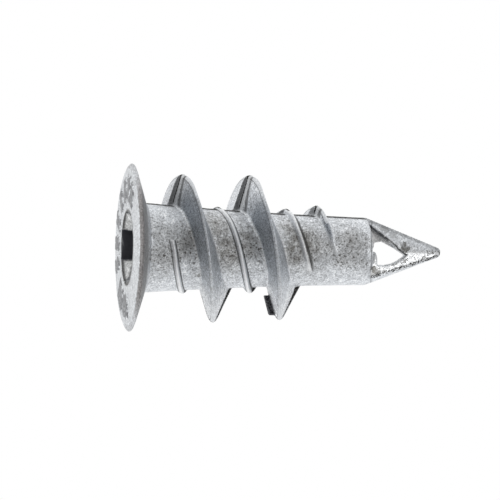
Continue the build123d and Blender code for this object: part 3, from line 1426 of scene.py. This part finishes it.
@dataclass(frozen=True)
class Mottle:
    """The mottling of raw die-cast zinc, from clouds down to specks."""

    cloud: Noise = (330.0, 3.0, 0.6)
    blotch: Noise = (1700.0, 3.0, 0.65)
    speck: Noise = (6500.0, 2.0, 0.7)
    pit: Noise = (4300.0, 1.0, 0.5)
    blotch_shade: Ramp = (0.35, 0.68, 1.12, 0.8)
    speck_shade: Ramp = (0.32, 0.68, 1.36, 0.66)
    ground_even: float = 0.55

    def grain(self, nodes: Nodes) -> Grain:
        """Lay the noises out over the part, with the shade that they give it.

        Args:
            nodes: The material's nodes.

        Returns:
            The noises, the place and the shade.
        """
        cloud, blotch, speck, pit = (
            nodes.noise(*kind) for kind in (self.cloud, self.blotch, self.speck, self.pit))
        place = nodes.add("SeparateXYZ", Vector=nodes.add("TexCoord").outputs["Object"])
        x, y, z = (nodes.times(place.outputs[axis], 1.0 / MILLIMETRE) for axis in "XYZ")
        shade = nodes.times(nodes.ramp(blotch, *self.blotch_shade),
                            nodes.ramp(speck, *self.speck_shade))
        even = nodes.ramp(nodes.trait(Trait.GROUND), 0.0, 1.0, 0.0, self.ground_even)
        shade = nodes.plus(nodes.times(shade, nodes.minus(1.0, even)), even)
        return Grain(cloud, blotch, speck, pit, x, y, z, shade)


@dataclass(frozen=True)
class BareZinc:
    """The plain cast skin: pale and dull clouds, dirt with painted shade, stains and pits, with fewer
    clouds and pits where light is painted.

    The stains are (across, height, size, strength) patches on the near side of
    the drill tip.
    """

    pale: Color = (0.765, 0.79, 0.82)
    face: Color = (0.64, 0.655, 0.67)
    face_share: float = 0.7
    rim: Color = (0.3, 0.29, 0.29)
    ground: Color = (0.74, 0.75, 0.76)
    grime_and_shade: Color = (0.225, 0.21, 0.185)
    grime_and_shade_blotch: Ramp = (0.4, 0.6, 0.5, 1.0)
    worn: Ramp = (0.4, 0.62)
    face_worn: Ramp = (0.0, 1.0, 1.0, 0.25)
    clean_lit_worn: Ramp = (0.1, 0.6, 1.0, 0.25)
    stains: Patches = (
        (-0.46, 26.5, 0.45, 0.95), (1.82, 23.6, 0.45, 0.9), (-2.1, 24.6, 0.4, 0.55),
        (0.2, 30.0, 0.3, 0.95), (-1.6, 25.4, 0.35, 0.4), (1.7, 24.3, 0.25, 0.6),
        (0.6, 23.5, 0.5, 0.35), (1.75, 23.3, 0.3, 0.7),
    )
    stain_ragged: float = 7.0
    stain_edge: tuple[float, float] = (0.4, 1.1)
    stain_speck: Ramp = (0.47, 0.6, 1.0, 0.45)
    pits: Ramp = (0.59, 0.65)
    pit_cloud: Ramp = (0.38, 0.54)
    pit_share: float = 0.9
    fleck: Ramp = (0.57, 0.63)
    fleck_share: float = 0.9

    def stained(self, nodes: Nodes, grain: Grain, color: Socket) -> Socket:
        """Lay the stains of the drill tip over its near side.

        Args:
            nodes: The material's nodes.
            grain: The noises and the place.
            color: The colour so far.

        Returns:
            The colour with the stains in it.
        """
        near = nodes.math(Arithmetic.BELOW, grain.y, 0.0)
        for across, height, size, strength in self.stains:
            aside = nodes.math(Arithmetic.POWER, nodes.minus(grain.x, across), 2.0)
            along = nodes.math(Arithmetic.POWER, nodes.minus(grain.z, height), 2.0)
            ragged = nodes.times(nodes.minus(grain.blotch, 0.5), self.stain_ragged * size**2)
            inner, outer = (share * size**2 for share in self.stain_edge)
            patch = nodes.ramp(nodes.plus(nodes.plus(aside, along), ragged),
                               inner, outer, strength, 0.0)
            color = nodes.lay(color, STAIN, patch, near, nodes.ramp(grain.speck, *self.stain_speck))
        return color

    def paint(self, nodes: Nodes, grain: Grain) -> tuple[Socket, Socket]:
        """Mix the plain skin.

        Args:
            nodes: The material's nodes.
            grain: The noises and the place.

        Returns:
            The colour, and how deep the pits are.
        """
        face, grime_and_shade = nodes.trait(Trait.FACE), nodes.trait(Trait.GRIME_AND_SHADE)
        # fewer dull clouds and pits where the barrel is painted lighter
        plain = nodes.times(nodes.ramp(face, *self.face_worn),
                            nodes.ramp(nodes.trait(Trait.CLEAN_AND_LIT), *self.clean_lit_worn))
        color = nodes.blend(nodes.times(nodes.ramp(grain.cloud, *self.worn), plain),
                            self.pale, DULL)
        color = nodes.lay(color, self.face, face, self.face_share)
        color = nodes.lay(color, self.rim, nodes.trait(Trait.RIM))
        color = nodes.lay(color, self.ground, nodes.trait(Trait.GROUND))
        # dirt with painted shade, in patches on the near side of the barrel
        color = nodes.lay(color, self.grime_and_shade, grime_and_shade, nodes.ramp(grain.blotch, *self.grime_and_shade_blotch))
        color = nodes.tint(self.stained(nodes, grain, color), grain.shade)
        pits = nodes.times(nodes.ramp(grain.pit, *self.pits),
                           nodes.ramp(grain.cloud, *self.pit_cloud), plain)
        flecks = nodes.times(nodes.ramp(grain.speck, *self.fleck), grime_and_shade, self.fleck_share)
        pits = nodes.greatest(pits, flecks)
        return nodes.lay(color, STAIN, pits, self.pit_share), pits


@dataclass(frozen=True)
class ThreadCoat:
    """The colours of the threads' flanks and crests, and of the low rib, with their painted shade and
    highlights.

    The feet are (centre, half width, where) lines of painted shadow beside the rib.
    """

    flank: Color = (0.74, 0.76, 0.785)
    # colour of the painted shade on the flanks
    deep: Color = (0.285, 0.31, 0.345)
    # colour of the painted highlights on the crests and along the root fillet
    crest: Color = (0.74, 0.755, 0.77)
    # colour of the painted highlight on the low rib
    ridge: Color = (0.97, 0.98, 0.99)
    flank_blotch: Ramp = (0.3, 0.7, 1.2, 0.8)
    flank_speck: Ramp = (0.4, 0.6, 1.42, 0.62)
    flank_share: float = 0.95
    root: Line = (0.0, 0.09)
    root_highlight_share: float = 0.4
    slope: Line = (-0.08, 0.26)
    slope_highlight_share: float = 0.55
    ridge_highlight_line: Line = (0.02, 0.2)
    ridge_highlight_fade: Ramp = (0.0, 1.0, 1.0, 0.4)
    ridge_highlight_share: float = 0.9
    feet: tuple[tuple[float, float, Trait], ...] = (
        (-0.31, 0.07, Trait.RIB_FOOT_SHADOW), (0.26, 0.08, Trait.RIB_ON), (0.37, 0.16, Trait.RIB_TIP))
    foot_shadow_speck: Ramp = (0.5, 0.6, 0.85, 0.5)
    edge: Line = (0.28, 0.08)
    edge_share: float = 0.5
    crest_edge: Ramp = (0.18, 0.24, 1.0, 0.0)
    crest_highlight_share: float = 0.7

    def paint(self, nodes: Nodes, grain: Grain, color: Socket) -> Socket:
        """Colour the flanks, the crests and the low ribs.

        Args:
            nodes: The material's nodes.
            grain: The noises and the place.
            color: The colour so far.

        Returns:
            The colour with the threads in it.
        """
        inset, offset = nodes.trait(Trait.INSET), nodes.trait(Trait.RIB_OFFSET)
        on_rib = nodes.trait(Trait.RIB_ON)
        # flanks mixed from pale to the painted shade
        flank = nodes.blend(nodes.trait(Trait.SHADED_FLANK), self.flank, self.deep)
        flank = nodes.tint(flank, nodes.ramp(grain.blotch, *self.flank_blotch))
        flank = nodes.tint(flank, nodes.ramp(grain.speck, *self.flank_speck))
        color = nodes.lay(color, flank, nodes.trait(Trait.FLANK), self.flank_share)
        # painted highlight along the root fillet of the wide thread
        root = nodes.line(nodes.trait(Trait.LIFT), *self.root)
        color = nodes.lay(color, self.crest, root, self.root_highlight_share)
        # painted highlight on the low rib's slope and crest
        slope = nodes.line(offset, *self.slope)
        color = nodes.lay(color, self.ridge, slope, on_rib, self.slope_highlight_share)
        ridge = nodes.line(offset, *self.ridge_highlight_line)
        fade = nodes.ramp(nodes.trait(Trait.RIB_TIP), *self.ridge_highlight_fade)
        color = nodes.lay(color, self.ridge, ridge, on_rib, fade, self.ridge_highlight_share)
        # painted shadow lines at the rib's feet
        for centre, half_width, where in self.feet:
            foot = nodes.line(offset, centre, half_width)
            speck = nodes.ramp(grain.speck, *self.foot_shadow_speck)
            color = nodes.lay(color, DIRT_AND_SHADOW, foot, nodes.trait(where), speck)
        edge = nodes.line(inset, *self.edge)
        color = nodes.lay(color, DIRT_AND_SHADOW, edge, nodes.trait(Trait.LOW), self.edge_share)
        # painted highlight along the crest
        crest = nodes.ramp(inset, *self.crest_edge)
        return nodes.lay(color, self.crest, crest, nodes.trait(Trait.CREST_HIGHLIGHT), self.crest_highlight_share)


@dataclass(frozen=True)
class SeamCoat:
    """The marks where the two die halves met: a dark line beside a pale one, and painted shade in the
    hollow corner beside them.
    """

    ragged: float = 0.5
    pale_at: float = 0.62
    pale_edge: Ramp = (0.2, 0.36, 0.85, 0.0)
    dark_at: float = 0.02
    dark_edge: Ramp = (0.22, 0.32, 1.0, 0.0)
    # painted shade in the hollow corner beside the parting face
    soft: Line = (1.2, 0.36)
    corner_shade_share: float = 0.75
    top: Line = (-0.4, 0.62)
    top_ragged: float = 1.5
    speck: Ramp = (0.54, 0.64, 1.0, 0.8)

    def paint(self, nodes: Nodes, grain: Grain, color: Socket) -> tuple[Socket, Socket]:
        """Colour the parting line and its flats.

        Args:
            nodes: The material's nodes.
            grain: The noises and the place.
            color: The colour so far.

        Returns:
            The colour with the seam in it, and how dark the seam is.
        """
        low = nodes.trait(Trait.LOW)
        ragged = nodes.times(nodes.minus(grain.speck, 0.5), self.ragged)
        across = nodes.times(grain.y, nodes.math(Arithmetic.SIGN, grain.x))
        across = nodes.plus(across, ragged)
        pale = nodes.ramp(nodes.apart(across, self.pale_at), *self.pale_edge)
        color = nodes.lay(color, DULL, pale, low)
        dark = nodes.ramp(nodes.apart(across, self.dark_at), *self.dark_edge)
        # painted shade in the hollow corner beside the parting face
        soft = nodes.times(nodes.line(across, *self.soft), low, self.corner_shade_share)
        top = nodes.line(nodes.plus(grain.y, nodes.times(ragged, self.top_ragged)), *self.top)
        top = nodes.times(top, nodes.trait(Trait.TOP))
        dark = nodes.greatest(nodes.times(dark, low), soft, top, nodes.trait(Trait.SEAM))
        dark = nodes.times(dark, nodes.ramp(grain.speck, *self.speck))
        return nodes.lay(color, DIRT_AND_SHADOW, dark), dark


@dataclass(frozen=True)
class HeadCoat:
    """The painted shade on the head's back, the painted shade and highlight of its dish, and the
    colour of its pads.
    """

    # colour of the painted shade on the head's back
    under: Color = (0.16, 0.16, 0.165)
    back_shade_share: float = 0.9
    # the dish is painted dark as shade in the recess, with a painted highlight band
    dish: Color = (0.2, 0.2, 0.2)
    gleam: Color = (0.68, 0.69, 0.69)
    pad: Color = (0.12, 0.12, 0.13)
    pad_ragged: float = 1.6
    pad_edge: Ramp = (0.6, 0.68)
    pad_speck: Ramp = (0.4, 0.62, 1.0, 0.3)
    ring_share: float = 0.8

    def paint(self, nodes: Nodes, grain: Grain, color: Socket) -> Socket:
        """Colour the head's own places.

        Args:
            nodes: The material's nodes.
            grain: The noises and the place.
            color: The colour so far.

        Returns:
            The colour with the head in it.
        """
        # painted shade on the head's back
        under = nodes.tint(self.under, grain.shade)
        color = nodes.lay(color, under, nodes.trait(Trait.SHADED_BACK), self.back_shade_share)
        # painted shade in the dish, with its painted highlight band
        dish = nodes.blend(nodes.trait(Trait.GLEAM), self.dish, self.gleam)
        color = nodes.lay(color, nodes.tint(dish, grain.shade), nodes.trait(Trait.DISH))
        ragged = nodes.times(nodes.minus(grain.blotch, 0.5), self.pad_ragged)
        pad = nodes.ramp(nodes.plus(nodes.trait(Trait.PAD), ragged), *self.pad_edge)
        color = nodes.lay(color, self.pad, pad, nodes.ramp(grain.speck, *self.pad_speck))
        return nodes.lay(color, DIRT_AND_SHADOW, nodes.trait(Trait.RING), self.ring_share)


@dataclass(frozen=True)
class TipCoat:
    """The dirt and painted shadow along the drill tip's edges, and the painted light on the wall
    inside its window.
    """

    # colour of the painted light on the pocket's inside
    floor: Color = (0.95, 0.95, 0.95)
    shoulder: Line = (0.0, 0.07)
    shoulder_speck: Ramp = (0.45, 0.55, 0.75, 0.25)
    brink: Line = (-0.05, 0.16)
    brink_shade_share: float = 0.8
    burr: Ramp = (0.5, 0.8)
    burr_speck: Ramp = (0.46, 0.54)

    def paint(self, nodes: Nodes, grain: Grain, color: Socket) -> Socket:
        """Colour the tip's own places.

        Args:
            nodes: The material's nodes.
            grain: The noises and the place.
            color: The colour so far.

        Returns:
            The colour with the tip in it.
        """
        shoulder = nodes.line(nodes.trait(Trait.SHOULDER), *self.shoulder)
        color = nodes.lay(color, DIRT_AND_SHADOW, shoulder, nodes.ramp(grain.speck, *self.shoulder_speck))
        # painted shadow line along the edge of the window
        brink = nodes.line(nodes.trait(Trait.BRINK), *self.brink)
        color = nodes.lay(color, DIRT_AND_SHADOW, brink, nodes.trait(Trait.BRINK_SHADE), self.brink_shade_share)
        burr = nodes.ramp(nodes.trait(Trait.BURR), *self.burr)
        color = nodes.lay(color, DIRT_AND_SHADOW, burr, nodes.ramp(grain.speck, *self.burr_speck))
        # painted light on the pocket's inside
        return nodes.lay(color, nodes.tint(self.floor, grain.shade), nodes.trait(Trait.LIT_POCKET))


@dataclass(frozen=True)
class CastZinc:
    """Raw die-cast zinc: pale grey, mottled by the die, pitted and faintly blue."""

    name: str = "cast_zinc"
    # near-black painted shade inside the hollows
    hollow_shade: Color = (0.07, 0.07, 0.08)
    # near black: the torn metal with painted shade over it
    fracture_and_shade: Color = (0.05, 0.05, 0.055)
    torn: Ramp = (0.45, 0.58, 0.3, 3.2)
    metallic: float = 0.9
    specular: float = 0.5
    rough: Ramp = (0.3, 0.7, 0.44, 0.64)
    ground_gloss: float = 0.18
    speck_relief: float = 0.6
    pit_relief: float = 1.2
    bump: float = 0.35
    bump_depth: float = 0.0001

    def material(self) -> bpy.types.Material:
        """Build the finish.

        Returns:
            The material.
        """
        material = bpy.data.materials.new(self.name)
        material.use_nodes = True
        nodes = Nodes(material.node_tree)
        grain = Mottle().grain(nodes)
        color, pits = BareZinc().paint(nodes, grain)
        color = ThreadCoat().paint(nodes, grain, color)
        color, seam = SeamCoat().paint(nodes, grain, color)
        color = HeadCoat().paint(nodes, grain, color)
        color = TipCoat().paint(nodes, grain, color)
        hollow = nodes.trait(Trait.SHADED_HOLLOW)
        # painted shade inside the hollows
        color = nodes.lay(color, self.hollow_shade, hollow)
        # the gate's torn face, darkened with painted shade
        torn = nodes.tint(self.fracture_and_shade, nodes.ramp(grain.speck, *self.torn))
        color = nodes.lay(color, torn, nodes.trait(Trait.BROKEN))
        gloss = nodes.times(nodes.trait(Trait.GROUND), self.ground_gloss)
        matt = nodes.greatest(hollow, nodes.trait(Trait.LIT_POCKET), nodes.trait(Trait.SHADED_BACK), seam)
        relief = nodes.plus(nodes.times(grain.speck, self.speck_relief), grain.blotch)
        relief = nodes.minus(relief, nodes.times(pits, self.pit_relief))
        bump = nodes.add("Bump", Height=relief, Strength=self.bump, Distance=self.bump_depth)
        shader = nodes.add(
            "BsdfPrincipled",
            Base_Color=color,
            Metallic=nodes.ramp(matt, 0.0, 1.0, self.metallic, 0.0),
            Specular_IOR_Level=nodes.ramp(nodes.greatest(hollow, seam), 0.0, 1.0,
                                          self.specular, 0.0),
            Roughness=nodes.minus(nodes.ramp(grain.speck, *self.rough), gloss),
            Normal=bump.outputs["Normal"],
        )
        nodes.add("OutputMaterial", Surface=shader.outputs["BSDF"])
        return material


@dataclass(frozen=True)
class PaleFloor:
    """A plain pale floor that is seen from above only and fades out far away."""

    name: str = "pale_floor"
    color: Color = (0.86, 0.86, 0.86)
    glow: float = 0.35
    fade_from: float = 0.12
    fade_to: float = 0.5

    def material(self) -> bpy.types.Material:
        """Build the finish.

        Returns:
            The material.
        """
        material = bpy.data.materials.new(self.name)
        material.use_nodes = True
        nodes = Nodes(material.node_tree)
        far = nodes.add("VectorMath", operation="LENGTH")
        nodes.give(far.inputs[0], nodes.add("TexCoord").outputs["Object"])
        share = nodes.ramp(far.outputs["Value"], self.fade_from, self.fade_to)
        share = nodes.greatest(share, nodes.add("NewGeometry").outputs["Backfacing"])
        paint = nodes.add(
            "BsdfPrincipled",
            Base_Color=(*self.color, 1.0),
            Roughness=1.0,
            Specular_IOR_Level=0.0,
            Emission_Color=(1.0, 1.0, 1.0, 1.0),
            Emission_Strength=self.glow,
        )
        mix = nodes.add("MixShader")
        nodes.give(mix.inputs[0], share)
        nodes.give(mix.inputs[1], paint.outputs["BSDF"])
        nodes.give(mix.inputs[2], nodes.add("BsdfTransparent").outputs["BSDF"])
        nodes.add("OutputMaterial", Surface=mix.outputs["Shader"])
        return material


@dataclass(frozen=True)
class SoftLight:
    """One soft square light.

    Args:
        name: Name of the light.
        place: Where it hangs, in metres.
        aim: The point that it faces.
        size: Side of the square.
        power: Power in watts.
    """

    name: str
    place: tuple[float, float, float]
    aim: tuple[float, float, float]
    size: float
    power: float

    def hang(self) -> None:
        """Hang the light in the scene."""
        lamp = bpy.data.lights.new(self.name, "AREA")
        lamp.size = self.size
        lamp.energy = self.power
        item = bpy.data.objects.new(self.name, lamp)
        item.location = self.place
        item.rotation_mode = "QUATERNION"
        toward = Vector(self.aim) - Vector(self.place)
        item.rotation_quaternion = toward.to_track_quat("-Z", "Y")
        bpy.context.collection.objects.link(item)


@dataclass
class Studio:
    """The floor, the soft lights and the white surroundings."""

    floor_height: float = -0.00011
    floor_size: float = 3.0
    brightest: tuple[float, float, float] = (-0.15, 0.985, -0.05)
    turn: tuple[float, float] = (-1.0, 0.1)
    dim: float = 0.2
    bright: float = 1.04
    lights: tuple[SoftLight, ...] = (
        SoftLight("front_right", (-0.064, -0.41, 0.306), (0.0, 0.0, 0.02), 0.16, 0.33),
        SoftLight("low_right", (0.3, -0.25, 0.08), (0.0, 0.0, 0.013), 0.2, 0.13),
    )

    def lay_floor(self) -> None:
        """Lay the floor under the part. It throws no light or shadow on it."""
        half = self.floor_size / 2
        corners = [(-half, -half, 0), (half, -half, 0), (half, half, 0), (-half, half, 0)]
        mesh = bpy.data.meshes.new("floor")
        mesh.from_pydata(corners, [], [(0, 1, 2, 3)])
        mesh.materials.append(PaleFloor().material())
        floor = bpy.data.objects.new("floor", mesh)
        bpy.context.collection.objects.link(floor)
        floor.location.z = self.floor_height
        floor.visible_shadow = floor.visible_diffuse = False
        floor.visible_glossy = floor.visible_transmission = False

    def surround(self) -> None:
        """Set the white surroundings, brightest behind, beside and below the part."""
        world = bpy.data.worlds.new("surroundings")
        bpy.context.scene.world = world
        world.use_nodes = True
        nodes = Nodes(world.node_tree)
        toward = nodes.add("VectorMath", operation="DOT_PRODUCT")
        nodes.give(toward.inputs[0], nodes.add("TexCoord").outputs["Generated"])
        nodes.give(toward.inputs[1], self.brightest)
        level = nodes.ramp(toward.outputs["Value"], *self.turn, self.dim, self.bright)
        seen = nodes.add("LightPath").outputs["Is Camera Ray"]
        ground = nodes.add("Background", Color=nodes.blend(seen, level, (1.0, 1.0, 1.0)))
        nodes.add("OutputWorld", Surface=ground.outputs["Background"])

    def build(self) -> None:
        """Set up the floor, the surroundings and the lights."""
        self.lay_floor()
        self.surround()
        for light in self.lights:
            light.hang()


@dataclass
class ViewCamera:
    """A long lens a little below the head's face, with the part's axis across.

    Args:
        target: Height of the point that it looks at, in metres.
        distance: Distance from that point, in metres.
        below: How far below the head's face it looks up from, in degrees.
        turn: Turn round the part's axis, in degrees.
        roll: Roll round the line of sight, in degrees.
        width: Width of the frame, in units of the frame.
        scale: Units of the frame in a metre at the target.
        offset: How far the target stands off the frame's middle, in those units.
        sensor: Width of the sensor, in millimetres.
        clip: Nearest and farthest distance that it sees, in metres.
    """

    target: float = 0.015
    distance: float = 1.5
    below: float = 9.5
    turn: float = 0.535
    roll: float = 0.98
    width: float = 500.0
    scale: float = 10595.0
    offset: tuple[float, float] = (33.8, 0.15)
    sensor: float = 36.0
    clip: tuple[float, float] = (0.01, 10.0)

    def place(self) -> None:
        """Make the camera and set it as the scene's."""
        lens = bpy.data.cameras.new("camera")
        lens.sensor_width = self.sensor
        lens.lens = self.scale * self.distance * self.sensor / self.width
        lens.clip_start, lens.clip_end = self.clip
        dip, roll = math.radians(self.below), math.radians(self.roll)
        around = Matrix.Rotation(-math.radians(self.turn), 3, "Z")
        right = Vector((0, -math.sin(dip), math.cos(dip)))
        up = Vector((-1, 0, 0))
        back = Vector((0, -math.cos(dip), -math.sin(dip)))
        where = Vector((0, 0, self.target)) + around @ back * self.distance
        across = right * math.cos(roll) + up * math.sin(roll)
        upward = up * math.cos(roll) - right * math.sin(roll)
        shift = across * self.offset[0] - upward * self.offset[1]
        away = (back * self.distance + shift / self.scale).normalized()
        across = (across - away * across.dot(away)).normalized()
        upward = away.cross(across)
        frame = Matrix((across, upward, away)).transposed()
        camera = bpy.data.objects.new("camera", lens)
        camera.matrix_world = Matrix.Translation(where) @ (around @ frame).to_4x4()
        bpy.context.collection.objects.link(camera)
        bpy.context.scene.camera = camera


def main() -> None:
    """Build the anchor and its stage, and report each piece."""
    logging.basicConfig(level=logging.INFO, format="%(message)s")
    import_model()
    low, high = (Vector(corner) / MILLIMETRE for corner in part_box(NODE))
    form = Casting(head_radius=high.x, length=high.z - low.z)
    casting = form.build()
    casting.data.materials.clear()
    casting.data.materials.append(CastZinc().material())
    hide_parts(NODE)
    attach(casting, BODY)
    LOG.info("casting: %d faces", len(casting.data.polygons))
    studio = Studio()
    studio.build()
    LOG.info("studio: floor, surroundings and %d soft lights", len(studio.lights))
    ViewCamera().place()
    LOG.info("camera: placed")
    bpy.context.scene.view_settings.view_transform = "Standard"


if __name__ == "__main__":
    main()
